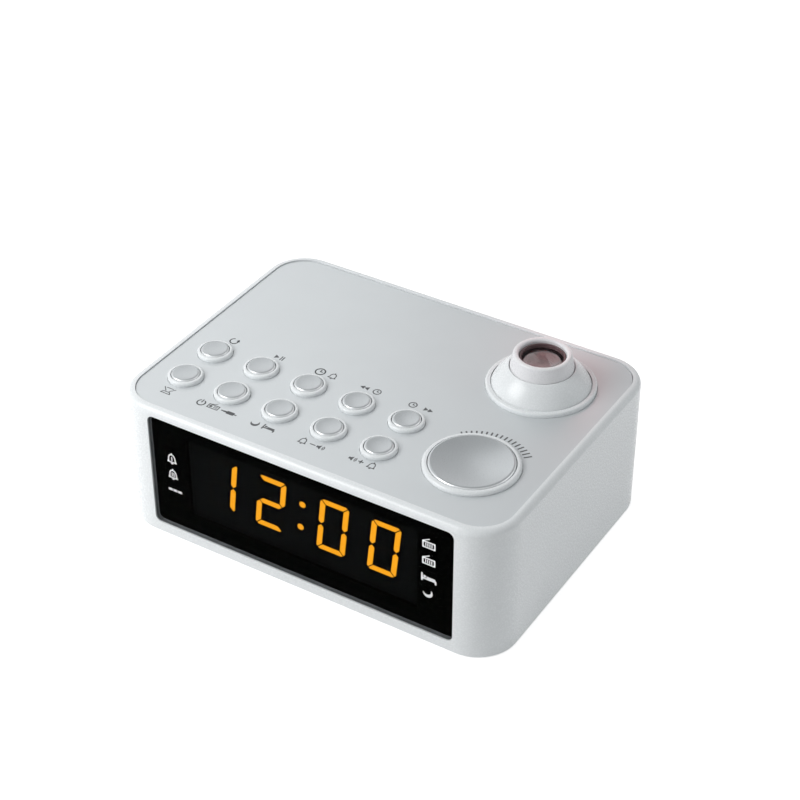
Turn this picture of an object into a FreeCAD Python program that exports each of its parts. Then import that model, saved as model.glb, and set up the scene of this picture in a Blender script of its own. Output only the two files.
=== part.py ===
import FreeCAD, Part
import math
import os

# Projection clock radio with an LED display, round keys and a swivelling projector.
# Units are millimetres. +Z is up and the display faces -Y.
# The origin is the centre of the footprint, on the surface that the rubber feet stand on.

V = FreeCAD.Vector
UP = V(0, 0, 1)
TOUCH = 0.05
CLEAR = 0.3
RUNNING = 0.05
INSET = 0.15
SLOT_ROUND = 0.49

# Cabinet
BODY_W = 160.0
BODY_D = 117.0
BASE_Z = 0.5
RIM_Z = 56.2
CORNER_R = 15.65
WALL = 2.2
FRONT_WALL = 3.4
RIM_W = 3.0
RIM_FILLET = 2.4
BASE_FILLET = 0.4
DECK_T = 2.2

# Silver top panel, set a little below the rim
PANEL_T = 1.2
PANEL_DROP = 0.5
PANEL_GAP = 0.25

# Display window and what is behind it
WINDOW_SIDE = 16.8
WINDOW_SILL = 4.6
WINDOW_HEAD = 3.4
WINDOW_R = 2.4
WINDOW_T = 2.0
WINDOW_BEVEL = 0.3
LEDGE_W = 4.5
MASK_T = 1.5
MASK_SIDE = 15.0
MASK_SILL = 6.9
MASK_HEAD = 6.3
MASK_R = 1.0
DISPLAY_LIP = 1.5
DISPLAY_T = 6.0
SEGMENT_T = 1.2
BOARD_T = 1.6
DISPLAY_POST_SIDE = 5.5
DISPLAY_POST_R = 2.4
DISPLAY_POST_MARGIN = 4.0
DISPLAY_BOARD_SIDE = 4.5

# Digits of the LED display
DIGIT_PITCH = 21.0
DIGIT_PAIR_GAP = 26.0
DIGIT_SHIFT = -0.2
DIGIT_LIFT = 1.95
DIGIT_W = 11.8
DIGIT_H = 22.9
STROKE = 2.15
SEGMENT_GAP = 0.3
SEGMENT_TIP_CUT = 0.5
SLANT = 0.11
COLON_DZ = 5.2
COLON_R = 1.3
LIT = ("bc", "abged", "abcdef", "abcdef")

# Round keys, five in each of two rows
KEY_EDGE = 16.85
KEY_COUNT = 5
KEY_TO_SNOOZE = 31.85
KEY_FRONT = {"a": 41.4, "b": 23.2}
KEY_BORE_R = 5.5
COLLAR_WALL = 1.15
COLLAR_RISE = 1.5
COLLAR_FILLET = 0.8
GUIDE_DEPTH = 2.85
GUIDE_WALL = 1.5
KEY_PROUD = 0.5
KEY_EDGE_R = 0.9
KEY_DISH = 0.35
KEY_SKIRT = 1.1
FLANGE_T = 1.2
FLANGE_W = 1.3
STEM_R = 1.4

# Snooze key
SNOOZE_EDGE = 28.5
SNOOZE_FRONT = 32.1
SNOOZE_BORE_R = 15.55
SNOOZE_WALL = 1.75
SNOOZE_FILLET = 1.1
SNOOZE_DISH = 1.9

# Key board with its tactile switches
KEY_BOARD_DROP = 14.3
KEY_BOARD_SIDE = 6.8
KEY_BOARD_PAST_SNOOZE = 12.5
KEY_POST_PAST_KEYS = 10.55
KEY_POST_SPREAD = 3.9
POST_R = 2.7
SWITCH_W = 6.0
SWITCH_H = 3.5
SWITCH_WALL = 0.8
PLUNGER_R = 1.75
PLUNGER_RISE = 1.5
PLUNGER_L = 3.5

# Projector
PROJ_SIDE_GAP = 3.76
PROJ_BACK_GAP = 3.66
BALL_R = 20.1
BALL_DROP = 7.2
BALL_WALL = 1.8
BALL_SKIRT = 6.0
HEAD_RIM = 0.4
RING_OUT = 0.1
RING_RISE = 1.6
RING_FILLET = 0.7
RING_FLANGE_W = 3.3
RING_FLANGE_T = 1.1
RING_SEAT_W = 1.4
WELL_WALL = 1.5
WELL_DEPTH = 16.1
CRADLE_WALL = 2.5
CRADLE_GAP = 0.54
RETAINER_T = 2.0
RETAINER_LIP = 2.8
TRUNNION_R = 2.0
TRUNNION_ROOT = 1.26
BARREL_R = 11.65
BARREL_TOP_R = 10.6
BARREL_PROUD = 5.45
BARREL_BORE_R = 8.6
BARREL_SINK = 7.5
BARREL_LIP = 0.9
HEAD_TUBE_WALL = 1.6
TUBE_R = 10.4
TUBE_DROP = 24.3
STEP_T = 2.0
CELL_R = 8.25
CELL_BORE_R = 7.7
CELL_RECESS = 1.4
CELL_L = 14.0
LENS_T = 3.6
LENS_BULGE = 1.3
LENS_DROP = 0.2
LCD_W = 12.0
LCD_T = 1.1
LCD_DROP = 0.8
CONDENSER_DROP = 8.8
CONDENSER_T = 3.0
CONDENSER_BULGE = 2.4
LED_R = 2.5
LED_H = 7.0
LED_FLANGE_R = 2.9
LED_FLANGE_T = 1.0
HOLDER_H = 5.0
HOLDER_LIP_T = 1.2

# Case screws, in bosses that hang from the deck
BOSS_SIDE = 8.5
BOSS_END = 10.0
BOSS_R = 3.6
PILOT_R = 1.3
PILOT_DEPTH = 12.0
SCREW_R = 1.25
SCREW_L = 10.0
SCREW_HOLE_R = 1.7
SCREW_HEAD_R = 2.7
SCREW_HEAD_H = 1.1
COUNTERBORE_R = 3.2
COUNTERBORE_D = 1.3
DRIVE_R = 1.6
DRIVE_T = 0.5
DRIVE_D = 0.6

# Bottom cover and feet
COVER_T = 2.4
FOOT_R = 5.5
FOOT_SEAT = 1.0
FOOT_SIDE = 22.0
FOOT_END = 14.5
VENT_X = -20.0
VENT_BACK = 22.5
VENT_L = 30.0
VENT_W = 1.8
VENT_PITCH = 4.0
VENT_COUNT = 4

# Battery bay for two backup cells, with its door
BAY_MIDDLE = (-17.0, -7.0)
BAY_WALL = 1.5
DOOR_T = 1.6
DOOR_LIFT = 0.1
DOOR_MARGIN = 1.2
DOOR_PIN_R = 0.55
DOOR_PIN_L = 1.6
DOOR_GRIPS = 3
DOOR_GRIP_W = 14.0
DOOR_GRIP_D = 0.4
CELL_BODY_R = 5.25
CELL_BODY_L = 43.3
CELL_NUB_R = 1.9
CELL_NUB_L = 1.0
CELL_BODY_EDGE_R = 0.4
CELL_LIFT = 0.85
CELL_SIDE = 0.65
CELL_BETWEEN = 0.7
CONTACT_W = 8.0
CONTACT_T = 0.4
CONTACT_STUB_L = 4.2
SPRING_L = 3.7
SPRING_R = 2.6
SPRING_WIRE_R = 0.35
SPRING_TURNS = 3.5

# Main board and its parts
MAIN_LIFT = 4.1
MAIN_X = (-60.0, 26.0)
MAIN_FRONT = 18.5
MAIN_BACK_Y = 26.0
TONGUE_SIDE = 9.0
TONGUE_BACK = 4.5
MAIN_POST_EDGE = 4.0
MAIN_POST_R = 3.0
BOARD_SCREW_R = 1.0
BOARD_SCREW_L = 7.0
BOARD_SCREW_HEAD_R = 2.0
BOARD_SCREW_HEAD_H = 1.2
BOARD_HOLE_R = 1.3
BOARD_PILOT_DEPTH = 9.0
SHIELD_FROM_CORNER = (14.0, 16.0)
SHIELD_W = 24.0
SHIELD_D = 18.0
SHIELD_H = 6.0
SHIELD_CORNER_R = 0.9
CHIP_AT = (-10.0, -14.0)
CHIP_W = 36.0
CHIP_D = 13.0
CHIP_H = 3.4
CHIP_LIFT = 0.5
CHIP_LEGS = 14
CHIP_LEG_W = 0.5
CHIP_LEG_T = 0.3
CAPACITOR_EDGE_R = 0.5
CAPACITORS = ((-46.0, 10.0, 5.0, 12.0), (-32.0, 12.0, 4.0, 11.0), (-20.0, 14.0, 3.15, 9.0),
              (-8.0, 16.0, 3.15, 9.0), (8.0, 10.0, 2.5, 8.0))

# Sockets on the back
SOCKET_RISE = 5.9
DC_TO_AUX = 18.0
DC_W = 9.0
DC_D = 13.5
DC_BORE_R = 3.1
DC_BORE_L = 9.5
DC_PIN_R = 1.0
AUX_X = -3.0
AUX_W = 11.0
AUX_D = 13.0
AUX_BORE_R = 1.8
AUX_COLLAR_R = 3.9
SOCKET_HOLE_R = 4.3
GLAND_TO_AUX = 7.0
GLAND_Z = 13.0
GLAND_R = 2.6
GLAND_FLANGE_R = 3.8
GLAND_FLANGE_T = 1.0
GLAND_BORE_R = 0.9

# Speaker behind the grille in the back wall
SPEAKER_TO_AUX = 14.5
SPEAKER_LIFT = 24.6
SPEAKER_R = 22.5
SPEAKER_RIM_T = 1.6
SPEAKER_RIM_W = 3.0
SPEAKER_DEPTH = 13.0
SPEAKER_PLATE_R = 12.0
SPEAKER_SHEET = 0.9
CONE_R = 18.6
CONE_NECK_R = 6.5
CONE_DEPTH = 7.5
CONE_T = 0.6
CONE_SURROUND_H = 1.2
CAP_R = 7.0
CAP_SINK = 2.33
MAGNET_R = 14.0
MAGNET_T = 7.0
MAGNET_EDGE_R = 0.9
SEAT_WALL = 1.5
SEAT_DEPTH = 6.0
GRILLE_R = 19.0
GRILLE_PITCH = 3.8
GRILLE_SLOT = 1.8

# Derived levels
PANEL_TOP_Z = RIM_Z - PANEL_DROP
DECK_TOP_Z = PANEL_TOP_Z - PANEL_T
DECK_LOW_Z = DECK_TOP_Z - DECK_T
COLLAR_TOP_Z = PANEL_TOP_Z + COLLAR_RISE
GUIDE_LOW_Z = DECK_LOW_Z - GUIDE_DEPTH
COVER_TOP_Z = BASE_Z + COVER_T
FRONT_Y = -BODY_D / 2
BACK_Y = BODY_D / 2
INNER_FRONT_Y = FRONT_Y + FRONT_WALL
INNER_BACK_Y = BACK_Y - WALL
INNER_X = BODY_W / 2 - WALL

# Derived places of the window, the display and the digits
WINDOW_HALF_W = BODY_W / 2 - WINDOW_SIDE
WINDOW_LOW_Z = BASE_Z + WINDOW_SILL
WINDOW_HIGH_Z = RIM_Z - WINDOW_HEAD
WINDOW_FRONT_Y = FRONT_Y + INSET
WINDOW_BACK_Y = WINDOW_FRONT_Y + WINDOW_T
MASK_HALF_W = WINDOW_HALF_W - MASK_SIDE
MASK_LOW_Z = WINDOW_LOW_Z + MASK_SILL
MASK_HIGH_Z = WINDOW_HIGH_Z - MASK_HEAD
MASK_FRONT_Y = WINDOW_BACK_Y + TOUCH
MASK_BACK_Y = MASK_FRONT_Y + MASK_T
DISPLAY_FRONT_Y = MASK_BACK_Y + TOUCH
DISPLAY_BACK_Y = DISPLAY_FRONT_Y + DISPLAY_T
DISPLAY_POST_X = MASK_HALF_W + DISPLAY_POST_SIDE
DIGIT_Z = (MASK_LOW_Z + MASK_HIGH_Z) / 2 + DIGIT_LIFT
DIGIT_NEAR = DIGIT_PAIR_GAP / 2
DIGIT_FAR = DIGIT_NEAR + DIGIT_PITCH
DIGIT_X = [DIGIT_SHIFT + x for x in (-DIGIT_FAR, -DIGIT_NEAR, DIGIT_NEAR, DIGIT_FAR)]

# Derived places of the keys and their board
SNOOZE_X = BODY_W / 2 - SNOOZE_EDGE
SNOOZE_Y = FRONT_Y + SNOOZE_FRONT
KEY_FIRST_X = KEY_EDGE - BODY_W / 2
KEY_LAST_X = SNOOZE_X - KEY_TO_SNOOZE
KEY_PITCH = (KEY_LAST_X - KEY_FIRST_X) / (KEY_COUNT - 1)
KEY_XS = [KEY_FIRST_X + KEY_PITCH * index for index in range(KEY_COUNT)]
KEY_ROWS = {row: FRONT_Y + distance for row, distance in KEY_FRONT.items()}
KEY_MIDDLE_Y = (KEY_ROWS["a"] + KEY_ROWS["b"]) / 2
KEYS = [(row, index + 1, x, y) for row, y in KEY_ROWS.items() for index, x in enumerate(KEY_XS)]
KEY_BOARD_TOP_Z = DECK_LOW_Z - KEY_BOARD_DROP
KEY_BOARD_LOW_Z = KEY_BOARD_TOP_Z - BOARD_T
KEY_BOARD_X = (KEY_FIRST_X - KEY_BOARD_SIDE, SNOOZE_X + KEY_BOARD_PAST_SNOOZE)
KEY_BOARD_Y = (KEY_ROWS["b"] - KEY_BOARD_SIDE, KEY_ROWS["a"] + KEY_BOARD_SIDE)
KEY_POSTS = [(KEY_FIRST_X + KEY_PITCH / 2, KEY_MIDDLE_Y), (KEY_LAST_X - KEY_PITCH * 1.5, KEY_MIDDLE_Y),
             (KEY_LAST_X + KEY_POST_PAST_KEYS, KEY_ROWS["a"] + KEY_POST_SPREAD),
             (KEY_LAST_X + KEY_POST_PAST_KEYS, KEY_ROWS["b"] - KEY_POST_SPREAD)]
PLUNGER_TOP_Z = KEY_BOARD_TOP_Z + SWITCH_H + PLUNGER_RISE

# Derived places of the projector
WELL_BORE_R = BALL_R + CRADLE_GAP + CRADLE_WALL + CLEAR
WELL_R = WELL_BORE_R + WELL_WALL
WELL_LOW_Z = DECK_LOW_Z - WELL_DEPTH
RING_R = BALL_R + RING_OUT
RING_FLANGE_R = RING_R + RING_FLANGE_W
RETAINER_BORE_R = WELL_BORE_R - RETAINER_LIP
TRUNNION_IN_R = BALL_R - TRUNNION_ROOT
PROJ_X = INNER_X - WELL_R - PROJ_SIDE_GAP
PROJ_Y = INNER_BACK_Y - WELL_R - PROJ_BACK_GAP
BALL_Z = PANEL_TOP_Z - BALL_DROP
HEAD_BORE_R = BARREL_R + CLEAR
HEAD_TOP_Z = BALL_Z + math.sqrt(BALL_R ** 2 - (HEAD_BORE_R + HEAD_RIM) ** 2)
HEAD_STEP_Z = HEAD_TOP_Z - BARREL_SINK
BARREL_TOP_Z = HEAD_TOP_Z + BARREL_PROUD
TUBE_LOW_Z = BALL_Z - TUBE_DROP
LCD_Z = BALL_Z - LCD_DROP
CONDENSER_Z = BALL_Z - CONDENSER_DROP

# Derived places of the screws, feet, vents and battery bay
BOSS_X = BODY_W / 2 - BOSS_SIDE
BOSS_Y = BODY_D / 2 - BOSS_END
FOOT_X = BODY_W / 2 - FOOT_SIDE
FOOT_Y = BODY_D / 2 - FOOT_END
VENT_Y = BACK_Y - VENT_BACK
DOOR_LOW_Z = BASE_Z + DOOR_LIFT
DOOR_TOP_Z = DOOR_LOW_Z + DOOR_T
CELL_DY = CELL_BODY_R + CELL_BETWEEN / 2
CELL_Z = DOOR_TOP_Z + CELL_LIFT + CELL_BODY_R
BAY_TOP_Z = CELL_Z + CELL_BODY_R + CELL_LIFT
BAY_HALF_L = CONTACT_T + (SPRING_L + CELL_BODY_L + CELL_NUB_L + CONTACT_STUB_L) / 2
BAY_HALF_D = CELL_DY + CELL_BODY_R + CELL_SIDE
BAY_X = (BAY_MIDDLE[0] - BAY_HALF_L, BAY_MIDDLE[0] + BAY_HALF_L)
BAY_Y = (BAY_MIDDLE[1] - BAY_HALF_D, BAY_MIDDLE[1] + BAY_HALF_D)
CELL_X = BAY_X[0] + CONTACT_T + SPRING_L
CELL_Y = BAY_MIDDLE[1] - CELL_DY

# Derived places of the main board, the sockets and the speaker
MAIN_LOW_Z = BAY_TOP_Z + BAY_WALL + MAIN_LIFT
MAIN_TOP_Z = MAIN_LOW_Z + BOARD_T
MAIN_Y = (FRONT_Y + MAIN_FRONT, MAIN_BACK_Y)
MAIN_POSTS = [(x, y) for x in (MAIN_X[0] + MAIN_POST_EDGE, MAIN_X[1] - MAIN_POST_EDGE)
              for y in (MAIN_Y[0] + MAIN_POST_EDGE, MAIN_Y[1] - MAIN_POST_EDGE)]
SOCKET_Z = MAIN_TOP_Z + SOCKET_RISE
DC_X = AUX_X + DC_TO_AUX
GLAND_X = AUX_X + GLAND_TO_AUX
TONGUE_X = (AUX_X - TONGUE_SIDE, MAIN_X[1])
TONGUE_Y = BACK_Y - TONGUE_BACK
SPEAKER_X = AUX_X - SPEAKER_R - SPEAKER_TO_AUX
SPEAKER_Z = COVER_TOP_Z + SPEAKER_LIFT


def box(x0, x1, y0, y1, z0, z1):
    return Part.makeBox(x1 - x0, y1 - y0, z1 - z0, V(x0, y0, z0))


def rod(radius, x, y, z0, z1):
    return Part.makeCylinder(radius, z1 - z0, V(x, y, z0))


def rod_x(radius, x0, x1, y, z):
    return Part.makeCylinder(radius, x1 - x0, V(x0, y, z), V(1, 0, 0))


def rod_y(radius, x, z, y0, y1):
    return Part.makeCylinder(radius, y1 - y0, V(x, y0, z), V(0, 1, 0))


def pipe(outer, inner, x, y, z0, z1):
    return rod(outer, x, y, z0, z1).cut(rod(inner, x, y, z0, z1))


def edges_along(solid, axis):
    found = []
    for edge in solid.Edges:
        span = edge.BoundBox
        lengths = {"x": span.XLength, "y": span.YLength, "z": span.ZLength}
        along = lengths.pop(axis)
        if along > 2 * TOUCH and max(lengths.values()) < TOUCH / 10:
            found.append(edge)
    return found


def edges_at(solid, z):
    near = TOUCH / 5
    return [edge for edge in solid.Edges
            if abs(edge.BoundBox.ZMin - z) < near and abs(edge.BoundBox.ZMax - z) < near]


def slab(x0, x1, y0, y1, z0, z1, radius):
    solid = box(x0, x1, y0, y1, z0, z1)
    return solid.makeFillet(radius, edges_along(solid, "z"))


def upright_slab(x0, x1, z0, z1, y0, y1, radius):
    solid = box(x0, x1, y0, y1, z0, z1)
    return solid.makeFillet(radius, edges_along(solid, "y"))


def turned(points, x, y):
    wire = Part.makePolygon([V(x + r, y, z) for r, z in points] + [V(x + points[0][0], y, points[0][1])])
    return Part.Face(wire).revolve(V(x, y, 0), UP, 360)


def turned_y(points, x, z):
    wire = Part.makePolygon([V(x + r, y, z) for r, y in points] + [V(x + points[0][0], points[0][1], z)])
    return Part.Face(wire).revolve(V(x, 0, z), V(0, 1, 0), 360)


def cap_of_ball(radius, bulge, x, y, z):
    # A dome whose flat side, of the given radius, is at height z and which rises by bulge.
    ball_r = (radius ** 2 + bulge ** 2) / (2 * bulge)
    ball = Part.makeSphere(ball_r, V(x, y, z + bulge - ball_r))
    return ball.common(rod(radius, x, y, z, z + bulge))


def four(x, y):
    return [(x, y), (-x, y), (x, -y), (-x, -y)]


def save(name, solids):
    shape = Part.makeCompound(solids) if isinstance(solids, list) else solids
    shape.exportStep("parts/" + name + ".step")


def make_cabinet():
    shell = slab(-BODY_W / 2, BODY_W / 2, FRONT_Y, BACK_Y, BASE_Z, RIM_Z, CORNER_R)
    shell = shell.makeFillet(RIM_FILLET, edges_at(shell, RIM_Z))
    shell = shell.makeFillet(BASE_FILLET, edges_at(shell, BASE_Z))
    shell = shell.cut(slab(-INNER_X, INNER_X, INNER_FRONT_Y, INNER_BACK_Y, BASE_Z - WALL, DECK_LOW_Z,
                           CORNER_R - WALL))
    shell = shell.cut(slab(-BODY_W / 2 + RIM_W, BODY_W / 2 - RIM_W, FRONT_Y + RIM_W, BACK_Y - RIM_W,
                           DECK_TOP_Z, RIM_Z + WALL, CORNER_R - RIM_W))

    # Seat and opening for the display window
    shell = shell.cut(upright_slab(-WINDOW_HALF_W - INSET, WINDOW_HALF_W + INSET, WINDOW_LOW_Z - INSET,
                                   WINDOW_HIGH_Z + INSET, FRONT_Y - WALL, WINDOW_BACK_Y + TOUCH,
                                   WINDOW_R + INSET))
    shell = shell.cut(upright_slab(-WINDOW_HALF_W + LEDGE_W, WINDOW_HALF_W - LEDGE_W,
                                   WINDOW_LOW_Z + LEDGE_W, WINDOW_HIGH_Z - LEDGE_W,
                                   FRONT_Y - WALL, INNER_FRONT_Y + WALL, WINDOW_R))

    # Key collars stand up through the panel, and their guides hang below the deck
    add = []
    holes = []
    for _, _, x, y in KEYS:
        add.append(make_collar(x, y, KEY_BORE_R, COLLAR_WALL, COLLAR_FILLET))
        holes.append(rod(KEY_BORE_R, x, y, GUIDE_LOW_Z, COLLAR_TOP_Z))
    add.append(make_collar(SNOOZE_X, SNOOZE_Y, SNOOZE_BORE_R, SNOOZE_WALL, SNOOZE_FILLET))
    holes.append(rod(SNOOZE_BORE_R, SNOOZE_X, SNOOZE_Y, GUIDE_LOW_Z, COLLAR_TOP_Z))

    # Posts for the key board and bosses for the case screws
    for x, y in KEY_POSTS:
        add.append(rod(POST_R, x, y, KEY_BOARD_TOP_Z, DECK_LOW_Z))
        holes.append(rod(BOARD_SCREW_R, x, y, KEY_BOARD_TOP_Z, KEY_BOARD_TOP_Z + BOARD_PILOT_DEPTH))
    for x, y in four(BOSS_X, BOSS_Y):
        add.append(rod(BOSS_R, x, y, COVER_TOP_Z + TOUCH, DECK_LOW_Z))
        holes.append(rod(PILOT_R, x, y, COVER_TOP_Z, COVER_TOP_Z + PILOT_DEPTH))

    # Well for the projector, with a seat for its ring
    add.append(rod(WELL_R, PROJ_X, PROJ_Y, WELL_LOW_Z, DECK_LOW_Z))
    holes.append(rod(WELL_BORE_R, PROJ_X, PROJ_Y, WELL_LOW_Z, DECK_LOW_Z))
    holes.append(rod(RING_FLANGE_R + INSET, PROJ_X, PROJ_Y, DECK_TOP_Z - RING_FLANGE_T - TOUCH, DECK_TOP_Z))
    holes.append(rod(RING_FLANGE_R - RING_SEAT_W, PROJ_X, PROJ_Y, DECK_LOW_Z, DECK_TOP_Z))

    # Speaker seat and grille slots in the back wall
    seat_y = INNER_BACK_Y - SEAT_DEPTH
    add.append(rod_y(SPEAKER_R + INSET + SEAT_WALL, SPEAKER_X, SPEAKER_Z, seat_y, INNER_BACK_Y))
    holes.append(rod_y(SPEAKER_R + INSET, SPEAKER_X, SPEAKER_Z, seat_y, INNER_BACK_Y))
    reach = int(GRILLE_R / GRILLE_PITCH)
    for index in range(-reach, reach + 1):
        dz = index * GRILLE_PITCH
        half = math.sqrt(GRILLE_R ** 2 - dz ** 2)
        z = SPEAKER_Z + dz
        if half > 2 * GRILLE_SLOT:
            holes.append(upright_slab(SPEAKER_X - half, SPEAKER_X + half, z - GRILLE_SLOT / 2,
                                      z + GRILLE_SLOT / 2, INNER_BACK_Y, BACK_Y, GRILLE_SLOT * SLOT_ROUND))

    # Holes for the sockets and the aerial gland
    for x in (DC_X, AUX_X):
        holes.append(rod_y(SOCKET_HOLE_R, x, SOCKET_Z, INNER_BACK_Y, BACK_Y))
    holes.append(rod_y(GLAND_R, GLAND_X, GLAND_Z, INNER_BACK_Y, BACK_Y))
    shell = shell.fuse(add)
    return shell.cut(holes).removeSplitter()


def make_collar(x, y, bore, wall, fillet):
    ring = rod(bore + wall, x, y, DECK_LOW_Z, COLLAR_TOP_Z)
    ring = ring.makeFillet(fillet, edges_at(ring, COLLAR_TOP_Z))
    return ring.fuse(rod(bore + GUIDE_WALL, x, y, GUIDE_LOW_Z, DECK_TOP_Z))


def make_top_panel():
    edge = RIM_W + PANEL_GAP
    panel = slab(-BODY_W / 2 + edge, BODY_W / 2 - edge, FRONT_Y + edge, BACK_Y - edge,
                 DECK_TOP_Z, PANEL_TOP_Z, CORNER_R - edge)
    holes = [rod(KEY_BORE_R + COLLAR_WALL + INSET, x, y, DECK_TOP_Z, PANEL_TOP_Z) for _, _, x, y in KEYS]
    holes.append(rod(SNOOZE_BORE_R + SNOOZE_WALL + INSET, SNOOZE_X, SNOOZE_Y, DECK_TOP_Z, PANEL_TOP_Z))
    holes.append(rod(RING_R + INSET, PROJ_X, PROJ_Y, DECK_TOP_Z, PANEL_TOP_Z))
    return panel.cut(holes)


def make_key(x, y, bore, dish, travel_stop):
    radius = bore - CLEAR
    top = COLLAR_TOP_Z + KEY_PROUD
    cap = rod(radius, x, y, travel_stop - FLANGE_T, top)
    cap = cap.makeFillet(KEY_EDGE_R, edges_at(cap, top))
    dish_r = radius - KEY_EDGE_R
    ball_r = (dish_r ** 2 + dish ** 2) / (2 * dish)
    cap = cap.cut(Part.makeSphere(ball_r, V(x, y, top - dish + ball_r)))
    cap = cap.cut(rod(radius - KEY_SKIRT, x, y, travel_stop - FLANGE_T, top - dish - KEY_SKIRT))
    flange = pipe(radius + FLANGE_W, radius - KEY_SKIRT, x, y, travel_stop - FLANGE_T, travel_stop)
    stem = rod(STEM_R, x, y, PLUNGER_TOP_Z, top - dish - KEY_SKIRT / 2)
    return cap.fuse([flange, stem]).removeSplitter()


def make_plunger(x, y):
    return rod(PLUNGER_R, x, y, PLUNGER_TOP_Z - PLUNGER_L, PLUNGER_TOP_Z)


def make_switch(x, y):
    half = SWITCH_W / 2
    low = KEY_BOARD_TOP_Z
    body = box(x - half, x + half, y - half, y + half, low, low + SWITCH_H)
    return body.cut(rod(PLUNGER_R + RUNNING, x, y, low + SWITCH_WALL, low + SWITCH_H))


def make_window():
    window = upright_slab(-WINDOW_HALF_W, WINDOW_HALF_W, WINDOW_LOW_Z, WINDOW_HIGH_Z,
                          WINDOW_FRONT_Y, WINDOW_BACK_Y, WINDOW_R)
    rim = [edge for edge in window.Edges if edge.BoundBox.YMax < WINDOW_FRONT_Y + TOUCH]
    return window.makeChamfer(WINDOW_BEVEL, rim)


def display_posts():
    low = MASK_LOW_Z + DISPLAY_POST_MARGIN
    high = MASK_HIGH_Z - DISPLAY_POST_MARGIN
    return [(x, z) for x in (-DISPLAY_POST_X, DISPLAY_POST_X) for z in (low, high)]


def make_mask():
    edge = LEDGE_W + INSET
    mask = upright_slab(-WINDOW_HALF_W + edge, WINDOW_HALF_W - edge, WINDOW_LOW_Z + edge,
                        WINDOW_HIGH_Z - edge, MASK_FRONT_Y, MASK_BACK_Y, WINDOW_R - INSET)
    opening = upright_slab(-MASK_HALF_W, MASK_HALF_W, MASK_LOW_Z, MASK_HIGH_Z,
                           MASK_FRONT_Y - MASK_T, MASK_BACK_Y + MASK_T, MASK_R)
    posts = [rod_y(DISPLAY_POST_R, x, z, MASK_FRONT_Y + MASK_T / 2, DISPLAY_BACK_Y)
             for x, z in display_posts()]
    pilots = [rod_y(BOARD_SCREW_R, x, z, MASK_BACK_Y, DISPLAY_BACK_Y) for x, z in display_posts()]
    return mask.cut(opening).fuse(posts).cut(pilots).removeSplitter()


def make_segment(digit_x, name):
    # One bar of a seven-segment digit. It is mitred at the digit's corners and pointed at its middle.
    half_w = DIGIT_W / 2
    half_h = DIGIT_H / 2
    gap = SEGMENT_GAP
    cut = SEGMENT_TIP_CUT
    t = STROKE / 2
    if name == "g":
        end = half_w - t - gap
        outline = [(-end, 0), (-end + t, t), (end - t, t), (end, 0), (end - t, -t), (-end + t, -t)]
    elif name in "ad":
        left = gap - half_w
        outline = [(left + 2 * cut, half_h), (left + cut, half_h - cut), (left + STROKE, half_h - STROKE)]
        outline += [(-x, z) for x, z in reversed(outline)]
    else:
        top = half_h - gap
        outline = [(half_w - cut, top - cut), (half_w - STROKE, top - STROKE), (half_w - STROKE, gap + t),
                   (half_w - t, gap), (half_w, gap + t), (half_w, top - 2 * cut)]
    side = -1 if name in "ef" else 1
    level = -1 if name in "cde" else 1
    points = [V(digit_x + side * x + SLANT * level * z, DISPLAY_FRONT_Y, DIGIT_Z + level * z)
              for x, z in outline]
    face = Part.Face(Part.makePolygon(points + [points[0]]))
    return face.extrude(V(0, SEGMENT_T, 0))


def make_colon():
    middle = sum(DIGIT_X) / len(DIGIT_X)
    return [rod_y(COLON_R, middle + SLANT * dz, DIGIT_Z + dz, DISPLAY_FRONT_Y, DISPLAY_FRONT_Y + SEGMENT_T)
            for dz in (-COLON_DZ, COLON_DZ)]


def make_display(segments):
    block = upright_slab(-MASK_HALF_W - DISPLAY_LIP, MASK_HALF_W + DISPLAY_LIP, MASK_LOW_Z - DISPLAY_LIP,
                         MASK_HIGH_Z + DISPLAY_LIP, DISPLAY_FRONT_Y, DISPLAY_BACK_Y, MASK_R)
    return block.cut(segments)


def make_display_board():
    half = DISPLAY_POST_X + DISPLAY_BOARD_SIDE
    board = box(-half, half, DISPLAY_BACK_Y, DISPLAY_BACK_Y + BOARD_T,
                MASK_LOW_Z - DISPLAY_LIP, MASK_HIGH_Z + DISPLAY_LIP)
    return board.cut([rod_y(BOARD_HOLE_R, x, z, DISPLAY_BACK_Y, DISPLAY_BACK_Y + BOARD_T)
                      for x, z in display_posts()])


def make_key_board():
    board = box(KEY_BOARD_X[0], KEY_BOARD_X[1], KEY_BOARD_Y[0], KEY_BOARD_Y[1],
                KEY_BOARD_LOW_Z, KEY_BOARD_TOP_Z)
    return board.cut([rod(BOARD_HOLE_R, x, y, KEY_BOARD_LOW_Z, KEY_BOARD_TOP_Z) for x, y in KEY_POSTS])


def make_main_board():
    board = box(MAIN_X[0], MAIN_X[1], MAIN_Y[0], MAIN_Y[1], MAIN_LOW_Z, MAIN_TOP_Z)
    board = board.fuse(box(TONGUE_X[0], TONGUE_X[1], MAIN_Y[1] - WALL, TONGUE_Y, MAIN_LOW_Z, MAIN_TOP_Z))
    board = board.removeSplitter()
    return board.cut([rod(BOARD_HOLE_R, x, y, MAIN_LOW_Z, MAIN_TOP_Z) for x, y in MAIN_POSTS])


def make_board_screw():
    # A small pan head screw at the origin, its head above z = 0 and its shank below.
    head = rod(BOARD_SCREW_HEAD_R, 0, 0, 0, BOARD_SCREW_HEAD_H)
    head = head.makeFillet(BOARD_SCREW_HEAD_H / 3, edges_at(head, BOARD_SCREW_HEAD_H))
    shank = rod(BOARD_SCREW_R - TOUCH, 0, 0, -BOARD_SCREW_L, 0)
    return head.fuse(shank).cut(make_drive(BOARD_SCREW_HEAD_H)).removeSplitter()


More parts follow.
